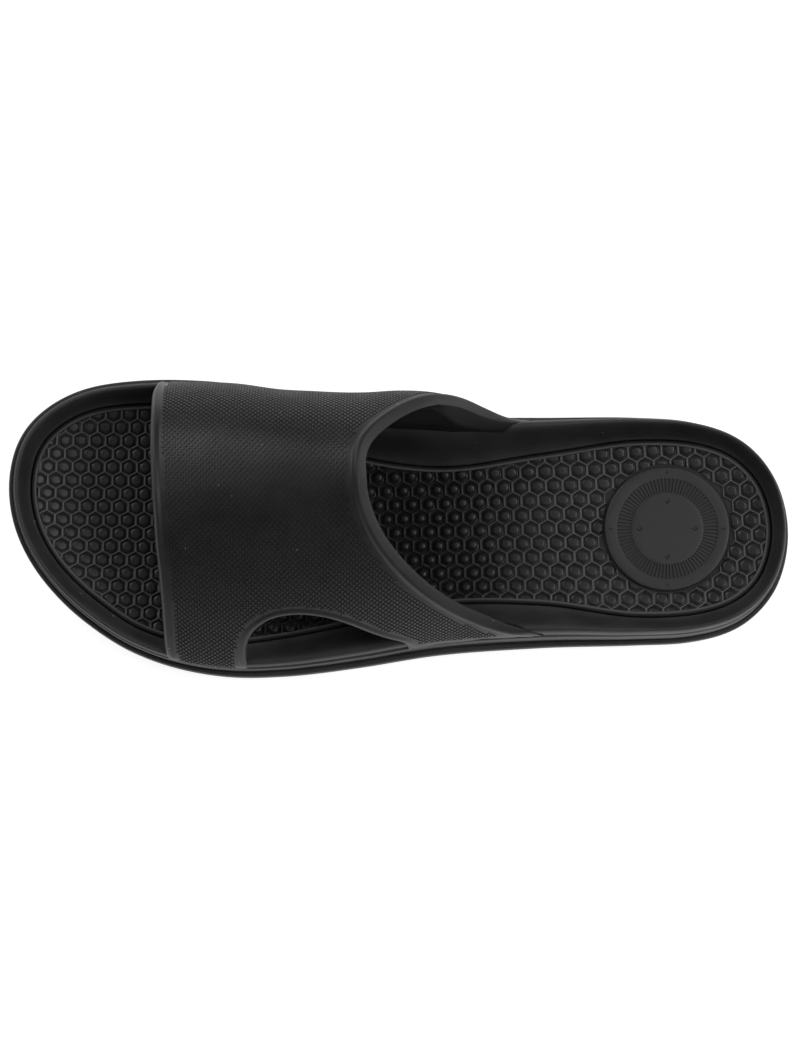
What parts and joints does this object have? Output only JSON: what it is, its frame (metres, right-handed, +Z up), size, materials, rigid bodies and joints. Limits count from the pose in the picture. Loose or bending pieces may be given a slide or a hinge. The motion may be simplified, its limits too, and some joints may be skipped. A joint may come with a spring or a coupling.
{
  "type": "slide sandal",
  "caption": "Left sport slide sandal of moulded foam: cupped sole, massage footbed with a heel medallion, and one wide strap with a cut-out on its outer side.",
  "frame": {"origin": "on the ground, under the middle of the shoe's box", "axes": "+X from toe to heel, +Y towards the big-toe side, +Z up from the ground"},
  "size_m": [0.29, 0.1117, 0.0873],
  "materials": {
    "outsole_foam": "matt moulded foam",
    "midsole_foam": "satin moulded foam",
    "strap_foam": "satin moulded foam with a fine raised diamond pattern",
    "insole_foam": "matt moulded foam with raised hexagons",
    "heel_pad_foam": "satin moulded foam with fine ribs"
  },
  "bodies": {
    "root": {"outsole": "outsole_foam", "midsole": "midsole_foam", "upper": "strap_foam", "insole": "insole_foam", "heel_pad": "heel_pad_foam"}
  },
  "joints": []
}
